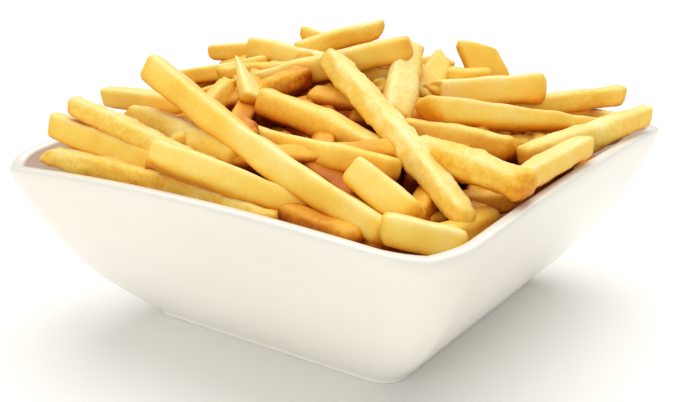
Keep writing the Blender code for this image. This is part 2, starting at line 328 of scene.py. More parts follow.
@dataclass(frozen=True)
class FriedPotato:
    """Deep-fried potato: a translucent yellow flesh under a thin golden crust.

    The colour follows the fry's tone attribute: red is how brown the fry is, with painted light on
    its top faces, edges and blisters and painted shade on its sides, underneath and deep in the heap;
    green is how near a point is to a long edge, and blue how near to an end. Patches and fine mottling
    from the oil lie over that.
    """

    name: str
    crust_mm: float
    crust_depth: float
    mottle: float
    roughness: float = 0.42
    crust_strength: float = 0.6
    sheen: float = 0.25
    oil_ior: float = 1.4
    patch_mm: float = 16.0
    patch_browning: float = 0.45
    grain_mm: float = 1.3
    edge_browning: float = 0.04
    end_browning: float = 0.08
    translucence: float = 0.10
    glow_mm: float = 2.5
    glow_tint: tuple[float, float, float] = (1.0, 0.5, 0.12)
    stops: tuple[tuple[float, str], ...] = (
        (0.0, "#FFF2C8"),
        (0.2, "#FDE694"),
        (0.4, "#FAD25C"),
        (0.6, "#F1B336"),
        (0.8, "#D67E16"),
        (1.0, "#8E3206"),
    )

    def browning(self, tree: Tree, place: Socket) -> Socket:
        """Add up how brown the crust is at each point, with the painted light and painted shade held in
        the attribute's red.

        Args:
            tree: the node tree to add to.
            place: what the patches and the mottling follow.

        Returns:
            The browning, from 0 for pale to 1 for dark.
        """
        finish = add_node(tree, "ShaderNodeAttribute", {"attribute_name": "fry_tone_and_painted_light"})
        parts = add_node(tree, "ShaderNodeSeparateColor", links={"Color": finish.outputs["Color"]})
        shares = []
        for size_mm, detail, share in (
            (self.patch_mm, 2.0, self.patch_browning),
            (self.grain_mm, 3.0, self.mottle),
        ):
            clouds = add_clouds(tree, place, size_mm, detail)
            middle = {"operation": "SUBTRACT", 1: 0.5}
            centred = add_node(tree, "ShaderNodeMath", middle, {0: clouds})
            shares.append((centred.outputs[0], share))
        shares.append((parts.outputs["Green"], self.edge_browning))
        shares.append((parts.outputs["Blue"], self.end_browning))
        total = parts.outputs["Red"]
        for source, share in shares:
            settings = {"operation": "MULTIPLY_ADD", 1: share}
            total = add_node(tree, "ShaderNodeMath", settings, {0: source, 2: total}).outputs[0]
        return total

    def make(self) -> Material:
        """Make the crust over its flesh.

        Returns:
            The new material.
        """
        material, shader, place = start_material(self.name)
        tree = material.node_tree
        tint = add_ramp(tree, self.browning(tree, place), self.stops)
        tree.links.new(tint, shader.inputs["Base Color"])
        crust = add_clouds(tree, place, self.crust_mm, 3.0, 0.6)
        add_relief(tree, shader, crust, self.crust_depth, self.crust_strength)
        shader.inputs["Roughness"].default_value = self.roughness
        shader.inputs["Subsurface Weight"].default_value = self.translucence
        shader.inputs["Subsurface Radius"].default_value = self.glow_tint
        shader.inputs["Subsurface Scale"].default_value = self.glow_mm * MM
        shader.inputs["IOR"].default_value = self.oil_ior
        shader.inputs["Specular IOR Level"].default_value = self.sheen
        return material


@dataclass
class PorcelainBowl:
    """The square bowl: low foot, flared curved wall, sides that bow out and arch at the rim."""

    mouth_half: float = 80.0
    rim_z: float = 53.8
    rim_lift: float = 4.2
    side_bow: float = 2.1
    rim_wall: float = 4.0
    rim_edge: float = 1.3
    rim_corner: float = 18.0
    mouth_corner: float = 15.0
    foot_half: float = 47.2
    foot_corner: float = 7.5
    foot_z: float = 1.4
    foot_edge: float = 0.5
    wall_start_half: float = 47.4
    wall_start_corner: float = 7.0
    corner_growth: float = 1.5
    recess_half: float = 40.0
    recess_z: float = 2.0
    ring_edge: float = 0.4
    ring_edge_z: float = 0.3
    bare_z: float = 0.15
    floor_z: float = 8.5
    floor_half: float = 40.0
    outer_leads: tuple = ((10.1, 10.3), (-10.3, -30.6))
    inner_leads: tuple = ((13.0, 3.5), (-10.5, -29.0))
    wall_rings: int = 26
    side_steps: int = 24
    corner_steps: int = 10
    arc_steps: int = 5
    glaze: GlazedPorcelain = field(default_factory=GlazedPorcelain)
    bisque: BareBisque = field(default_factory=BareBisque)

    def curve_point(self, low: Vector, leads: tuple, high: Vector, share: float) -> Vector:
        """Follow a wall's curve.

        Args:
            low: the curve's low end.
            leads: how far each end is led straight on.
            high: the curve's high end.
            share: 0 at the low end, 1 at the high end.

        Returns:
            Half width and height.
        """
        controls = (low, low + Vector(leads[0]), high + Vector(leads[1]), high)
        rest = 1.0 - share
        weights = (rest**3, 3 * rest**2 * share, 3 * rest * share**2, share**3)
        return sum((w * c for w, c in zip(weights, controls)), Vector((0.0, 0.0)))

    def outer_wall(self, share: float) -> Vector:
        """Follow the outside of the wall.

        Args:
            share: 0 at the foot, 1 at the rim.

        Returns:
            Half width and height.
        """
        high = Vector((self.mouth_half, self.rim_z - self.rim_edge))
        low = Vector((self.wall_start_half, self.foot_z))
        return self.curve_point(low, self.outer_leads, high, share)

    def inner_wall(self, share: float) -> Vector:
        """Follow the inside of the wall.

        Args:
            share: 0 at the floor, 1 at the rim.

        Returns:
            Half width and height.
        """
        high = Vector((self.mouth_half - self.rim_wall, self.rim_z - self.rim_edge))
        low = Vector((self.floor_half, self.floor_z))
        return self.curve_point(low, self.inner_leads, high, share)

    def height_share(self, z: float) -> float:
        """Return 0 at the foot and 1 at the rim."""
        return min(1.0, max(0.0, (z - self.foot_z) / (self.rim_z - self.foot_z)))

    def corner_radius(self, high: float, z: float) -> float:
        """Return the wall's corner radius at a height, up to high at the rim."""
        start = self.wall_start_corner
        return start + (high - start) * self.height_share(z) ** self.corner_growth

    def ring(self, half: float, radius: float, z: float) -> list[Vector]:
        """Return the points of one level of the wall.

        Args:
            half: from the middle to a side.
            radius: the corners' radius.
            z: the height at the corners.

        Returns:
            Points round a rounded square whose sides bow out and arch up near the rim.
        """
        straight = half - radius
        quarter = [
            Vector((half, straight * (2.0 * i / self.side_steps - 1.0)))
            for i in range(self.side_steps)
        ]
        for i in range(self.corner_steps):
            angle = 0.5 * math.pi * i / self.corner_steps
            quarter.append(
                Vector((straight + radius * math.cos(angle), straight + radius * math.sin(angle)))
            )
        share = self.height_share(z)
        points = []
        for side in range(4):
            turn = Matrix.Rotation(0.5 * math.pi * side, 2)
            for flat in quarter:
                near_diagonal = min(abs(flat.x), abs(flat.y)) / max(abs(flat.x), abs(flat.y))
                swell = share * (1.0 - near_diagonal**2)
                pushed = flat.copy()
                if abs(flat.x) >= abs(flat.y):
                    pushed.x += self.side_bow * swell
                else:
                    pushed.y += self.side_bow * swell
                placed = turn @ pushed
                points.append(Vector((placed.x, placed.y, z + self.rim_lift * swell)))
        return points

    def levels(self) -> list[list[Vector]]:
        """Lay out every level of the shell.

        Returns:
            Loops of points, from the middle of the underside round to the bowl's floor.
        """
        rings = [
            self.ring(self.recess_half * share, self.wall_start_corner * share, self.recess_z)
            for share in (0.1, 0.5, 0.96)
        ]
        rings.append(self.ring(self.recess_half, self.wall_start_corner, self.recess_z * 0.85))
        lip = self.recess_half + self.recess_z
        rings.append(self.ring(lip - self.ring_edge, self.wall_start_corner, self.ring_edge_z))
        rings.append(self.ring(lip, self.wall_start_corner, 0.0))
        for i in range(self.arc_steps + 1):
            angle = 0.5 * math.pi * i / self.arc_steps
            half = self.foot_half - self.foot_edge * (1.0 - math.sin(angle))
            z = self.foot_edge * (1.0 - math.cos(angle))
            rings.append(self.ring(half, self.foot_corner, z))
        rings.append(self.ring(self.foot_half, self.foot_corner, self.foot_z - self.foot_edge))
        for i in range(self.wall_rings):
            half, z = self.outer_wall(i / (self.wall_rings - 1))
            rings.append(self.ring(half, self.corner_radius(self.rim_corner, z), z))
        inner_half = self.mouth_half - self.rim_wall
        for centre, start, corner, sense in (
            (self.mouth_half - self.rim_edge, 0.0, self.rim_corner, 1.0),
            (inner_half + self.rim_edge, 0.5 * math.pi, self.mouth_corner, -1.0),
        ):
            for i in range(1, self.arc_steps + 1):
                angle = start + 0.5 * math.pi * i / self.arc_steps
                out = self.rim_edge * math.cos(angle)
                z = self.rim_z - self.rim_edge * (1.0 - math.sin(angle))
                inset = self.rim_edge - sense * out
                rings.append(self.ring(centre + out, corner - sense * inset, z))
        for i in reversed(range(self.wall_rings - 1)):
            half, z = self.inner_wall(i / (self.wall_rings - 1))
            rings.append(self.ring(half, self.corner_radius(self.mouth_corner, z), z))
        for share in (0.85, 0.5, 0.1):
            rings.append(
                self.ring(self.floor_half * share, self.wall_start_corner * share, self.floor_z)
            )
        return rings

    def build(self) -> Shape:
        """Extrude the shell through every level and mark its unglazed ring.

        Returns:
            The bowl's shell.
        """
        shape = extruded(self.levels())
        for face in shape.faces:
            centre = face.calc_center_median()
            reach = max(abs(centre.x), abs(centre.y))
            if centre.z < self.bare_z and reach > self.recess_half:
                face.material_index = 1
        return shape

    def dress(self) -> bpy.types.Object:
        """Build the shell, glaze it and leave its foot ring bare.

        Returns:
            The bowl.
        """
        materials = (self.glaze.make(), self.bisque.make())
        return finished_piece("bowl_shell", self.build(), materials, "bowl")


class Crust(Enum):
    """How a fry's surface came out of the oil."""

    SMOOTH = "smooth"
    GOLDEN = "golden"
    BLISTERED = "blistered"


class Cut(Enum):
    """How a fry's end looks."""

    CLEAN = "clean"
    BROKEN = "broken"


class Change(Enum):
    """What changes slowly along a fry, with where in the noise that is read."""

    SIDEWAYS = (7.0, 0.0)
    UPWARD = (0.0, 9.0)
    THICKNESS = (3.0, 0.0)
    BROWNING = (0.0, 5.0)

    def at(self, x: float, wave_mm: float, seed: Vector) -> float:
        """Return how far it has changed.

        Args:
            x: the place along the fry.
            wave_mm: how long one wave of it is.
            seed: the fry's own place in the noise.

        Returns:
            The change, from -1 to 1.
        """
        return noise.noise(Vector((x / wave_mm, *self.value)) + seed)


@dataclass(frozen=True)
class Relief:
    """The lumps of one kind of crust: lengths in millimetres, squareness as a power."""

    squareness: float
    wave: float
    blister: float
    blister_size: float
    nick: float


RELIEFS: dict[Crust, Relief] = {
    Crust.SMOOTH: Relief(squareness=4.2, wave=0.55, blister=0.10, blister_size=3.2, nick=0.25),
    Crust.GOLDEN: Relief(squareness=3.6, wave=0.60, blister=0.24, blister_size=2.8, nick=0.35),
    Crust.BLISTERED: Relief(squareness=3.3, wave=0.60, blister=0.55, blister_size=2.4, nick=0.45),
}


@dataclass(frozen=True)
class Fry:
    """One fry from end to end, in millimetres and degrees.

    Tone is how brown it is all over, from 0 for pale to 1 for dark; for fries that lie under others it
    also holds painted shade. A slant is how far an end stands out at its side and at its top.
    """

    start: tuple[float, float, float]
    end: tuple[float, float, float]
    width: float
    depth: float
    roll: float = 0.0
    bow: float = 0.0
    start_taper: float = 0.9
    end_taper: float = 0.9
    crust: Crust = Crust.GOLDEN
    tone: float = 0.4
    start_cut: Cut = Cut.CLEAN
    end_cut: Cut = Cut.CLEAN
    start_slant: tuple[float, float] = (-0.3, 0.4)
    end_slant: tuple[float, float] = (0.3, 0.4)

    def middle(self) -> Vector:
        """Return the middle of the fry."""
        return Vector(self.start).lerp(Vector(self.end), 0.5)

    def spots(self, step: float) -> list[Vector]:
        """Walk along the fry.

        Args:
            step: about how far apart the points are.

        Returns:
            Points from start to end.
        """
        start, end = Vector(self.start), Vector(self.end)
        count = max(2, round((end - start).length / step))
        return [start.lerp(end, i / count) for i in range(count + 1)]


SMOOTH, BLISTERED = Crust.SMOOTH, Crust.BLISTERED

# The fries that show from the front, named for where they lie. Each has its start, end, width,
# depth, roll, bow and two tapers, as far as they differ from a plain fry's, and then its looks.
PLACED_FRIES: dict[str, Fry] = {
    "long_front": Fry((-39, -46, 82), (54, -60, 51), 8.6, 8.2, 30, -2.0, 1.0, crust=SMOOTH, tone=0.35),
    "long_over_corner": Fry(
        (-1, -7, 82), (69, -47, 54), 8.0, 7.8, 20, 0.6, 0.95, 0.7,
        crust=BLISTERED, tone=0.3,
    ),
    "long_upper": Fry((-48, -20, 66), (18, 9, 84.8), 7.8, 8.2, 5, 0.5, 0.8, 0.95, crust=SMOOTH, tone=0.34),
    "top": Fry((-29, 12, 79), (-10, 36, 85.4), 7.0, 7.0, 10, tone=0.33, end_slant=(0.0, 1.2)),
    "top_tip": Fry((-36, 25, 83), (-8, 29, 77), 5.6, 5.6, 20, tone=0.34, start_cut=Cut.BROKEN),
    "back_left_broad": Fry(
        (-50, 12.3, 78.4), (-14, 12, 75), 9.0, 9.0, 12,
        crust=SMOOTH, tone=0.34, start_cut=Cut.BROKEN,
    ),
    "back_left_stub": Fry((-67, 9, 76), (-50, 24, 75), 6.2, 6.0, 15, crust=SMOOTH, tone=0.36),
    "behind_long_front": Fry((-58, -23, 72), (-38, 6, 75), 6.2, 6.0, 15, crust=SMOOTH, tone=0.36),
    "left_pale": Fry((-71.5, -37, 68), (-34, -36, 69), 7.6, 7.2, 0, crust=SMOOTH, tone=0.28),
    "left_jagged": Fry(
        (-49, -47, 66.8), (2, -55, 62), 8.8, 8.4, 25, 0.0, 0.8,
        tone=0.34, start_cut=Cut.BROKEN,
    ),
    "left_long": Fry((-59, -60.5, 71), (-2, -63.5, 60.5), 7.0, 6.4, 15, 0.0, crust=BLISTERED, tone=0.36),
    "left_corner": Fry(
        (-66.5, -62.5, 64.2), (-10, -63, 57), 9.2, 9.0, 18,
        crust=SMOOTH, tone=0.36, start_slant=(0.0, 1.2),
    ),
    "along_rim": Fry(
        (-62.5, -69, 57), (24, -66, 50.5), 8.2, 7.8, 10, 0.8, 0.7, 0.7,
        crust=BLISTERED, tone=0.38, start_slant=(0.0, -2.6),
    ),
    "front_broad": Fry(
        (-16.5, -70, 64), (29, -58, 51.5), 9.6, 8.4, 38, 0.0, 0.86, 0.8,
        crust=SMOOTH, tone=0.35,
    ),
    "wedge": Fry((-30, -18, 81.5), (-14, -29.5, 71.5), 9.2, 6.4, 30, 0.0, 0.15, crust=SMOOTH, tone=0.3),
    "middle_broad": Fry((-10, -30, 72), (37, -30, 60), 9.4, 8.8, 10, 0.8, 0.95, tone=0.36),
    "middle_low": Fry((-5, -42, 64), (44, -41, 61), 8.6, 8.0, 20, crust=SMOOTH, tone=0.4),
    "near_bright": Fry((37, -50, 62.5), (58, -54, 54), 9.2, 9.0, 42, crust=SMOOTH, tone=0.28),
    "near_stub": Fry(
        (56, -66, 55.8), (71.5, -54, 50.5), 9.8, 8.4, 15, 0.0, 0.86, 0.8,
        crust=SMOOTH, tone=0.26,
    ),
    "upright": Fry((11.7, 18.6, 82.6), (27, -14, 67), 9.8, 8.8, 30, crust=BLISTERED, tone=0.27),
    "back_wedge": Fry(
        (18, 31, 78), (20, 12, 68), 8.8, 7.2, 20, 0.0, 0.8,
        tone=0.38, start_slant=(-2.0, 0.0),
    ),
    "back_piece": Fry((18, 24, 73), (34, 33, 73), 6.6, 6.6, 0, tone=0.38),
    "back_flat": Fry(
        (24.3, 40, 81.5), (36, 37, 66), 12.0, 6.2, -32, 0.0, 0.95,
        crust=SMOOTH, tone=0.36, start_slant=(-4.0, 0.0),
    ),
    "right_large": Fry(
        (8, 13.7, 66.6), (54.3, 29.8, 71.9), 9.4, 9.4, 15, 0.0, 0.8, 0.95,
        crust=SMOOTH, tone=0.34,
    ),
    "right_tapering": Fry(
        (37, -12.2, 70.6), (69, 43, 59), 9.8, 9.2, 30, 0.0, 0.95, 0.45,
        crust=SMOOTH, tone=0.32, start_slant=(0.6, 2.2),
    ),
    "right_under": Fry((32, -18, 66), (60, -4, 61), 8.4, 7.8, 10, tone=0.36),
    "right_back": Fry((42, 24, 65), (67, 64, 65), 7.0, 6.8, 10, tone=0.32, end_slant=(0.0, 1.0)),
    "behind_corner": Fry((52, 60, 57.5), (74, 52.5, 58.3), 6.4, 6.2, 10, crust=SMOOTH, tone=0.32),
    "right_corner": Fry(
        (63, -4, 58.7), (77.8, 57, 60.7), 7.6, 7.8, 5, -0.3, 0.86, 0.9,
        tone=0.33, end_slant=(0.0, 1.4),
    ),
    "rim_side": Fry((70.5, 4, 57.6), (72, 48, 57.2), 6.6, 6.6, 0, tone=0.42),
    "over_right_rim": Fry(
        (75, -36, 61.2), (77.6, 6, 62.4), 7.0, 6.2, 8,
        crust=SMOOTH, tone=0.28, end_slant=(0.0, 1.0),
    ),
    "near_right": Fry(
        (43, -28, 65), (79.8, -37.6, 62.3), 9.0, 8.0, 4, 0.0, 0.86, 0.92,
        crust=BLISTERED, tone=0.38,
    ),
    # The fries from here on lie under others; their higher tones are painted shade.
    "low_by_rim": Fry((24, -63, 52), (48, -65, 50), 7.0, 6.6, 0, tone=0.66),
    "under_upper": Fry((-18, -12, 69), (6, -2, 64), 7.4, 7.0, 0, tone=0.7),
    "under_crossing": Fry((-6, 4, 77), (13, 9, 74), 6.6, 6.4, 15, tone=0.5),
    "right_low": Fry((45, -22, 60), (71, -16, 57.5), 7.2, 6.8, 10, tone=0.48),
    "under_left_stub": Fry((-64, 12, 70), (-43, 18, 71), 6.6, 6.4, 10, tone=0.45),
    "corner_low": Fry((55, -34, 52), (69, -20, 52), 7.2, 6.8, 0, tone=0.62),
    "corner_deep": Fry((64, -60, 50), (70, -36, 51.5), 7.0, 6.8, 0, tone=0.55),
    "left_middle_low": Fry((-34, -22, 69), (-12, -25, 68.5), 7.2, 6.8, 20, tone=0.66),
}


@dataclass(frozen=True)
class Layer:
    """Fries nobody placed by hand, dropped where the layer is still bare.

    Behind is how far back from the middle, away from the front corner, a layer starts. Deeper layers get
    browner tones, as painted shade between the fries.
    """

    seed: int
    count: int
    sink: tuple[float, float]
    spacing: float
    behind: float
    tones_with_shade: tuple[float, float]


@dataclass
class Heap:
    """The surface that the top fries lie on, and the mass under it, which is painted dark as shade, in
    millimetres.
    """

    edge_z: float = 55.0
    rise: float = 27.0
    half: float = 79.0
    squareness: float = 2.6
    fall: float = 2.6
    lean: float = -0.13
    core_sink: float = 19.0
    core_gap: float = 1.2
    core_shoulder_z: float = 40.0

    def reach(self, x: float, y: float) -> float:
        """Return 0 in the middle of the heap and 1 where its surface meets the rim."""
        power = self.squareness
        return ((abs(x) / self.half) ** power + (abs(y) / self.half) ** power) ** (1.0 / power)

    def height(self, x: float, y: float) -> float:
        """Return the height of the top layer's middles; the heap is higher towards -X."""
        rise = self.rise + self.lean * x
        return self.edge_z + rise * (1.0 - min(1.0, self.reach(x, y)) ** self.fall)


@dataclass
class FryPile:
    """Every fry in the bowl, one piece for each kind of crust."""

    bowl: PorcelainBowl
    heap: Heap = field(default_factory=Heap)
    step_mm: float = 1.2
    across: int = 8
    end_length: float = 7.0
    end_round: float = 1.9
    end_spare: float = 0.6
    end_unevenness: float = 0.4
    end_rounding: float = 0.9
    end_narrowing: float = 0.17
    end_mark: float = 4.0
    torn_depth: float = 1.7
    torn_share: float = 0.3
    twist: float = 0.16
    drift_mm: float = 24.0
    swelling: float = 0.09
    swelling_mm: float = 13.0
    slow_wave_mm: float = 9.0
    nick_mm: float = 4.5
    tone_change: float = 0.10
    tone_mm: float = 20.0
    # Painted light on top faces and top edges, painted shade on sides, undersides and deep in the heap,
    # and a painted highlight on blisters.
    painted_top_light: float = 0.22
    painted_under_shade: float = 0.28
    painted_side_shade: float = 0.16
    painted_edge_highlight: float = 0.12
    painted_blister_glint: float = 0.10
    painted_gap_shade: float = 0.46
    gap_shade_start: float = 7.0
    gap_shade_end: float = 16.0
    long_taper: float = 0.5
    short_taper_start: float = 1.0 / 3.0
    loose_tries: int = 3000
    loose_length: tuple[float, float] = (32.0, 72.0)
    loose_side: tuple[float, float] = (6.6, 8.4)
    loose_roll: tuple[float, float] = (-35.0, 35.0)
    loose_bow: tuple[float, float] = (-1.0, 1.5)
    loose_reach: float = 70.0
    loose_steepest: float = 0.45
    loose_slant: float = 1.5
    spot_step: float = 5.0
    wall_checks: int = 8
    wall_samples: int = 24
    wall_clearance: float = 0.9
    half_side_share: float = 0.65
    packed_rim_lift: float = 4.3
    backward: Vector = field(default_factory=lambda: Vector((-0.6, 0.8)))
    # Painted shade: the dark tone of the mass under the fries.
    painted_core_shade: float = 0.78
    # Deeper layers get browner tones: painted shade between the fries.
    layers: tuple[Layer, ...] = (
        Layer(seed=3, count=24, sink=(4.5, 8.0), spacing=8.0, behind=24.0, tones_with_shade=(0.3, 0.46)),
        Layer(seed=11, count=16, sink=(9.5, 12.0), spacing=8.6, behind=-90.0, tones_with_shade=(0.42, 0.6)),
        Layer(seed=23, count=45, sink=(11.0, 18.0), spacing=6.2, behind=-90.0, tones_with_shade=(0.55, 0.75)),
    )

    def wall_limit(self, z: float) -> float:
        """Find how far the free space inside the bowl reaches.

        Args:
            z: the height.

        Returns:
            Half its width there.
        """
        samples = [self.bowl.inner_wall(i / self.wall_samples) for i in range(self.wall_samples + 1)]
        below = [half for half, height in samples if height <= z]
        return below[-1] if below else self.bowl.floor_half

    def clears_bowl(self, fry: Fry) -> bool:
        """Check that a fry keeps off the wall and rim, and within the bowl's outline.

        Args:
            fry: the fry.

        Returns:
            Whether it does.
        """
        start, end = Vector(fry.start), Vector(fry.end)
        half_side = self.half_side_share * max(fry.width, fry.depth)
        for i in range(self.wall_checks + 1):
            point = start.lerp(end, i / self.wall_checks)
            low = point.z - half_side
            over_rim = low > self.bowl.rim_z + self.packed_rim_lift + self.wall_clearance
            limit = self.bowl.mouth_half if over_rim else self.wall_limit(low) - self.wall_clearance
            past_x = abs(point.x) - (limit - self.bowl.mouth_corner)
            past_y = abs(point.y) - (limit - self.bowl.mouth_corner)
            in_corner = past_x > 0.0 and past_y > 0.0
            reach = math.hypot(past_x, past_y) if in_corner else max(past_x, past_y)
            if reach > self.bowl.mouth_corner - half_side:
                return False
        return True

    def dropped_fry(self, draw: random.Random, layer: Layer) -> Fry:
        """Draw a fry somewhere on the heap, tilted as the surface under it falls.

        Args:
            draw: the layer's own random draw.
            layer: how deep the fry lies and how brown it is, with painted shade in the deeper layers.

        Returns:
            The fry.
        """
        reach = self.loose_reach
        x, y = draw.uniform(-reach, reach), draw.uniform(-reach, reach)
        heading = draw.uniform(0.0, math.pi)
        half_length = draw.uniform(*self.loose_length) / 2.0
        width, depth = draw.uniform(*self.loose_side), draw.uniform(*self.loose_side)
        sink = draw.uniform(*layer.sink)
        roll, bow = draw.uniform(*self.loose_roll), draw.uniform(*self.loose_bow)
        slant = self.loose_slant
        step = Vector((math.cos(heading), math.sin(heading), 0.0)) * half_length
        middle = Vector((x, y, self.heap.height(x, y) - sink))
        ahead = self.heap.height(x + step.x, y + step.y)
        fall = ahead - self.heap.height(x - step.x, y - step.y)
        steepest = self.loose_steepest * half_length
        step.z = max(-steepest, min(steepest, fall / 2.0))
        looks = random.Random(round(1000.0 * half_length))
        return Fry(
            tuple(middle - step),
            tuple(middle + step),
            width,
            depth,
            roll,
            bow,
            crust=looks.choice(list(Crust)),
            tone=looks.uniform(*layer.tones_with_shade),
            start_cut=looks.choice(list(Cut)),
            end_cut=looks.choice(list(Cut)),
            start_slant=(looks.uniform(-slant, slant), looks.uniform(-slant, slant)),
            end_slant=(looks.uniform(-slant, slant), looks.uniform(-slant, slant)),
        )

    def loose_fries(self, placed: list[Fry]) -> list[Fry]:
        """Drop every layer's fries, each kept where its middle lies on a bare spot.

        Args:
            placed: the fries that lie there already.

        Returns:
            The loose fries.
        """
        spots = [spot for fry in placed for spot in fry.spots(self.spot_step)]
        found: list[Fry] = []
        for layer in self.layers:
            draw = random.Random(layer.seed)
            kept = 0
            for _ in range(self.loose_tries):
                fry = self.dropped_fry(draw, layer)
                ends = (Vector(fry.start), Vector(fry.end))
                if min(end.xy.dot(self.backward) for end in ends) < layer.behind:
                    continue
                if min((fry.middle() - spot).length for spot in spots) < layer.spacing:
                    continue
                if not self.clears_bowl(fry):
                    continue
                found.append(fry)
                spots += fry.spots(self.spot_step)
                kept += 1
                if kept == layer.count:
                    break
        return found

    def blank(self, shape: Shape, steps: int) -> None:
        """Add an uncut stick, 2 by 2 by 2, with its faces divided evenly.

        Args:
            shape: the empty mesh to add to.
            steps: how many slices along X.
        """
        bmesh.ops.create_cube(shape, size=2.0)
        along = [e for e in shape.edges if abs(e.verts[0].co.x - e.verts[1].co.x) > 1.0]
        bmesh.ops.subdivide_edges(shape, edges=along, cuts=steps - 1, use_grid_fill=True)
        cross = [e for e in shape.edges if abs(e.verts[0].co.x - e.verts[1].co.x) < 0.5 / steps]
        bmesh.ops.subdivide_edges(shape, edges=cross, cuts=self.across - 1, use_grid_fill=True)

    def end_shift(self, fry: Fry, u: float, v: float, w: float, seed: Vector) -> float:
        """Return how far a point of an end stands out past a square cut, in millimetres.

        Args:
            fry: the fry.
            u: along the fry, from -1 to 1.
            v: across the fry, from -1 to 1.
            w: up the fry, from -1 to 1.
            seed: the fry's own place in the noise.

        Returns:
            The shift along the fry, outward.
        """
        slant, cut = (fry.end_slant, fry.end_cut) if u > 0.0 else (fry.start_slant, fry.start_cut)
        spot = Vector((v, w, 4.0 if u > 0.0 else 0.0)) + seed
        shift = slant[0] * v + slant[1] * w + self.end_unevenness * noise.noise(spot * 0.9)
        if cut is Cut.BROKEN:
            shift += self.torn_depth * (noise.noise(spot * 1.5) - self.torn_share)
        return shift

    def shape_stick(self, shape: Shape, fry: Fry, seed: Vector) -> None:
        """Round, taper, bend and twist a blank, and cut its ends.

        Args:
            shape: the blank, along X, with the colour layer for tone and painted light and shade.
            fry: the fry.
            seed: the fry's own place in the noise.
        """
        finish = shape.verts.layers.float_color["fry_tone_and_painted_light"]
        relief = RELIEFS[fry.crust]
        power = relief.squareness
        length = (Vector(fry.end) - Vector(fry.start)).length
        twist = self.twist * noise.noise(seed * 1.7)
        for vertex in shape.verts:
            u, v, w = vertex.co
            ring = max(abs(v), abs(w))
            squeeze = (abs(v) ** power + abs(w) ** power) ** (1.0 / power)
            if squeeze > 0.0:
                v, w = v * ring / squeeze, w * ring / squeeze
            edge = (min(abs(v), abs(w)) / max(abs(v), abs(w), 1e-6)) ** 3 * ring
            from_end = (1.0 - abs(u)) * length / 2.0
            rounding = max(0.0, 1.0 - from_end / self.end_round)
            section = 1.0 - self.end_narrowing * rounding**2
            for taper, toward in ((fry.start_taper, -u), (fry.end_taper, u)):
                first = -1.0 if taper < self.long_taper else self.short_taper_start
                section *= 1.0 + (taper - 1.0) * max(0.0, (toward - first) / (1.0 - first))
            near = smoothstep(self.end_length, 0.0, from_end)
            outward = near * (self.end_spare + self.end_shift(fry, u, v, w, seed))
            outward -= self.end_rounding * ring**3 * rounding
            x = u * length / 2.0 + (outward if u > 0.0 else -outward)
            sideways = relief.wave * Change.SIDEWAYS.at(x, self.drift_mm, seed)
            upward = relief.wave * Change.UPWARD.at(x, self.drift_mm, seed)
            section *= 1.0 + self.swelling * Change.THICKNESS.at(x, self.swelling_mm, seed)
            angle = twist * u
            y, z = v * 0.5 * fry.width * section, w * 0.5 * fry.depth * section
            y, z = y * math.cos(angle) - z * math.sin(angle), y * math.sin(angle) + z * math.cos(angle)
            vertex.co = (x, y + sideways, z + upward + fry.bow * (1.0 - u * u))
            browning = fry.tone + self.tone_change * Change.BROWNING.at(x, self.tone_mm, seed)
            tip = max(0.0, 1.0 - from_end / self.end_mark)
            vertex[finish] = (browning, edge, tip, 1.0)

    def raise_crust(self, shape: Shape, relief: Relief, seed: Vector) -> None:
        """Push a stick's skin out in blisters and slow waves, nick its edges, and paint a pale highlight
        on each blister.

        Args:
            shape: the stick.
            relief: its lumps.
            seed: the fry's own place in the noise.
        """
        finish = shape.verts.layers.float_color["fry_tone_and_painted_light"]
        shape.normal_update()
        for vertex in shape.verts:
            spot = vertex.co / relief.blister_size
            spot.x *= 0.7
            spot += seed * 3.0
            lump = max(0.0, noise.noise(spot)) * 1.6 + 0.4 * noise.noise(spot * 2.1)
            slow = noise.noise(vertex.co / self.slow_wave_mm + seed)
            tone, edge, tip, _ = vertex[finish]
            nick = max(0.0, noise.noise(vertex.co / self.nick_mm - seed)) * edge
            push = relief.blister * lump + relief.wave * slow - relief.nick * nick
            vertex.co += vertex.normal * push
            # Painted highlight: blisters made paler, standing in for glints off their peaks.
            glint = self.painted_blister_glint * min(1.0, relief.blister) * lump
            vertex[finish] = (tone - glint, edge, tip, 1.0)

    def brown(self, shape: Shape) -> None:
        """Paint shade and light on a fry: browner on its sides, underneath and where it lies deep in the
        heap, as painted shade, and paler on its top faces and top edges, as painted light.

        Args:
            shape: the fry, in place.
        """
        finish = shape.verts.layers.float_color["fry_tone_and_painted_light"]
        shape.normal_update()
        for vertex in shape.verts:
            tone, edge, tip, _ = vertex[finish]
            facing = vertex.normal.z
            # Painted shade on every face, taken back off top faces by the painted light below.
            tone += self.painted_side_shade
            if facing > 0.0:
                tone -= facing * (self.painted_top_light + self.painted_edge_highlight * edge)
            else:
                tone -= facing * self.painted_under_shade
            # Painted shade, darker the further a point lies under the heap's surface.
            below = self.heap.height(vertex.co.x, vertex.co.y) - vertex.co.z
            tone += self.painted_gap_shade * smoothstep(self.gap_shade_start, self.gap_shade_end, below)
            vertex[finish] = (tone, edge, tip, 1.0)

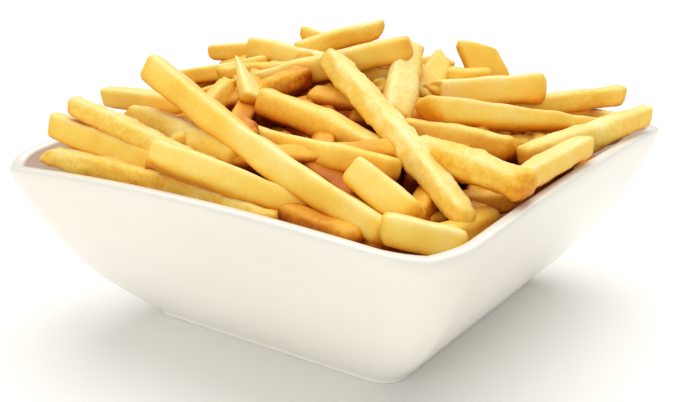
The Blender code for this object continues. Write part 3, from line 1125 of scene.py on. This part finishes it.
    def carve(self, fry: Fry, seed: Vector) -> Shape:
        """Carve one fry and put it in place.

        Args:
            fry: the fry.
            seed: the fry's own place in the noise.

        Returns:
            The fry, in millimetres.
        """
        shape = bmesh.new()
        shape.verts.layers.float_color.new("fry_tone_and_painted_light")
        start, end = Vector(fry.start), Vector(fry.end)
        along = (end - start).normalized()
        side = Vector((0.0, 0.0, 1.0)).cross(along).normalized()
        self.blank(shape, max(10, round((end - start).length / self.step_mm)))
        self.shape_stick(shape, fry, seed)
        self.raise_crust(shape, RELIEFS[fry.crust], seed)
        roll = Matrix.Rotation(math.radians(-fry.roll), 4, "X")
        place = Matrix((along, side, along.cross(side))).transposed().to_4x4()
        move = Matrix.Translation((start + end) / 2.0)
        bmesh.ops.transform(shape, matrix=move @ place @ roll, verts=shape.verts)
        self.brown(shape)
        return shape

    def build(self) -> dict[Crust, Shape]:
        """Carve every fry.

        Returns:
            One mesh, in millimetres, for each kind of crust.
        """
        placed = list(PLACED_FRIES.values())
        together = {crust: bmesh.new() for crust in Crust}
        for i, fry in enumerate(placed + self.loose_fries(placed)):
            shape = self.carve(fry, Vector((7.3 * i, 11.9 + 3.1 * i, 5.7 * i)))
            single = bpy.data.meshes.new("one_fry")
            shape.to_mesh(single)
            shape.free()
            together[fry.crust].from_mesh(single)
            bpy.data.meshes.remove(single)
        return together

    def core(self) -> Shape:
        """Build the mass under the lowest fries that show, painted dark brown as shade.

        Returns:
            A closed solid that keeps off the bowl.
        """
        floor = self.bowl.floor_z + self.heap.core_gap
        levels = []
        for share in (0.0, 0.25, 0.5, 0.75, 1.0):
            z = floor + (self.heap.core_shoulder_z - floor) * share
            half = self.wall_limit(z) - self.heap.core_gap
            radius = self.bowl.corner_radius(self.bowl.mouth_corner, z)
            levels.append(self.bowl.ring(half, radius, z))
        shoulder = levels[-1]
        for share in (0.9, 0.75, 0.6, 0.45, 0.3, 0.15, 0.05):
            dome = []
            for point in shoulder:
                x, y = point.x * share, point.y * share
                dome.append(Vector((x, y, max(point.z, self.heap.height(x, y) - self.heap.core_sink))))
            levels.append(dome)
        shape = extruded(levels)
        finish = shape.verts.layers.float_color.new("fry_tone_and_painted_light")
        # Painted shade: the whole mass gets one dark tone.
        for vertex in shape.verts:
            vertex[finish] = (self.painted_core_shade, 0.0, 0.0, 1.0)
        return shape

    def dress(self) -> None:
        """Build the fries and give each kind of crust its finish."""
        finishes = {
            Crust.SMOOTH: FriedPotato("smooth_fried_potato", 2.6, 0.12, 0.12, roughness=0.38),
            Crust.GOLDEN: FriedPotato("golden_fried_potato", 1.8, 0.25, 0.22),
            Crust.BLISTERED: FriedPotato("blistered_fried_potato", 1.4, 0.40, 0.34, roughness=0.46),
        }
        for crust, shape in self.build().items():
            material = finishes[crust].make()
            finished_piece(f"fries_{crust.value}", shape, (material,), "fries")
        deep = FriedPotato("shaded_fried_potato", 3.0, 0.4, 0.2)
        finished_piece("fries_core", self.core(), (deep.make(),), "fries")


@dataclass
class PhotoCamera:
    """The photograph's camera, worked out from the bowl's rim and foot; lengths in mm."""

    azimuth: float = 35.73
    elevation: float = 18.39
    roll: float = -1.08
    focal_px: float = 964.66
    distance: float = 330.88
    shift_right: float = -4.208
    shift_up: float = 31.92
    sensor_mm: float = 36.0

    def place(self) -> bpy.types.Object:
        """Make the camera and point it.

        Returns:
            The camera.
        """
        az, el, tilt = (math.radians(a) for a in (self.azimuth, self.elevation, self.roll))
        back = Vector((math.sin(az) * math.cos(el), -math.cos(az) * math.cos(el), math.sin(el)))
        right = Vector((math.cos(az), math.sin(az), 0.0))
        up = back.cross(right)
        across = right * math.cos(tilt) + up * math.sin(tilt)
        above = up * math.cos(tilt) - right * math.sin(tilt)
        spot = back * self.distance + across * self.shift_right + above * self.shift_up
        data = bpy.data.cameras.new("photo_camera")
        data.sensor_width = self.sensor_mm
        data.lens = self.focal_px / PHOTO_SIZE[0] * self.sensor_mm
        data.clip_start = 0.01
        data.clip_end = 20.0
        camera = bpy.data.objects.new("photo_camera", data)
        turn = Matrix((across, above, back)).transposed().to_4x4()
        camera.matrix_world = Matrix.Translation(spot * MM) @ turn
        bpy.context.scene.collection.objects.link(camera)
        bpy.context.scene.camera = camera
        return camera


@dataclass(frozen=True)
class SoftLight:
    """A very large, far softbox: where it hangs, how wide it looks and how bright it is."""

    name: str
    towards: tuple[float, float, float]
    width_degrees: float
    strength: float

    def hang(self) -> None:
        """Make the light, aimed at the bowl."""
        data = bpy.data.lights.new(self.name, "SUN")
        data.angle = math.radians(self.width_degrees)
        data.energy = self.strength
        light = bpy.data.objects.new(self.name, data)
        spot = Vector(self.towards).normalized()
        light.matrix_world = Matrix.Translation(spot) @ spot.to_track_quat("Z", "Y").to_matrix().to_4x4()
        bpy.context.scene.collection.objects.link(light)


@dataclass
class SoftStudio:
    """A white floor under large soft lights, with plain white light all round."""

    floor_half_m: float = 4.0
    floor_paint: str = "#FCF9F6"
    floor_roughness: float = 0.9
    floor_sheen: float = 0.2
    roller_mm: float = 3.0
    roller_depth: float = 0.02
    roller_strength: float = 0.1
    room_light: float = 0.46
    lights: tuple[SoftLight, ...] = (
        SoftLight("overhead_softbox", (-0.18, 0.40, 1.0), 73.0, 2.45),
        SoftLight("front_softbox", (0.20, -0.95, 0.04), 75.0, 1.45),
    )

    def paint(self) -> Material:
        """Make the matt white floor paint, with a faint texture from the roller.

        Returns:
            The new material.
        """
        material, shader, place = start_material("studio_floor_paint")
        tree = material.node_tree
        roller = add_clouds(tree, place, self.roller_mm, 2.0)
        add_relief(tree, shader, roller, self.roller_depth, self.roller_strength)
        shader.inputs["Base Color"].default_value = linear(self.floor_paint)
        shader.inputs["Roughness"].default_value = self.floor_roughness
        shader.inputs["Specular IOR Level"].default_value = self.floor_sheen
        return material

    def lay_floor(self) -> None:
        """Lay the floor at the height that the bowl stands on."""
        shape = bmesh.new()
        bmesh.ops.create_grid(shape, x_segments=8, y_segments=8, size=self.floor_half_m)
        mesh = bpy.data.meshes.new("studio_floor")
        shape.to_mesh(mesh)
        shape.free()
        mesh.materials.append(self.paint())
        floor = bpy.data.objects.new("studio_floor", mesh)
        bpy.context.scene.collection.objects.link(floor)

    def light_room(self) -> None:
        """Fill the room with white light and hang the softboxes."""
        world = bpy.data.worlds.new("white_room")
        bpy.context.scene.world = world
        world.use_nodes = True
        sky = world.node_tree.nodes["Background"]
        sky.inputs["Color"].default_value = (1.0, 1.0, 1.0, 1.0)
        sky.inputs["Strength"].default_value = self.room_light
        for light in self.lights:
            light.hang()

    def set_up(self) -> None:
        """Lay the floor, light it, and show colours as they are."""
        self.lay_floor()
        self.light_room()
        bpy.context.scene.view_settings.view_transform = "Standard"


def main() -> None:
    """Build the studio, the bowl and the fries."""
    logging.basicConfig(level=logging.INFO, format="%(name)s: %(message)s")
    PhotoCamera().place()
    SoftStudio().set_up()
    bowl = PorcelainBowl()
    bowl.dress()
    FryPile(bowl).dress()


if __name__ == "__main__":
    main()
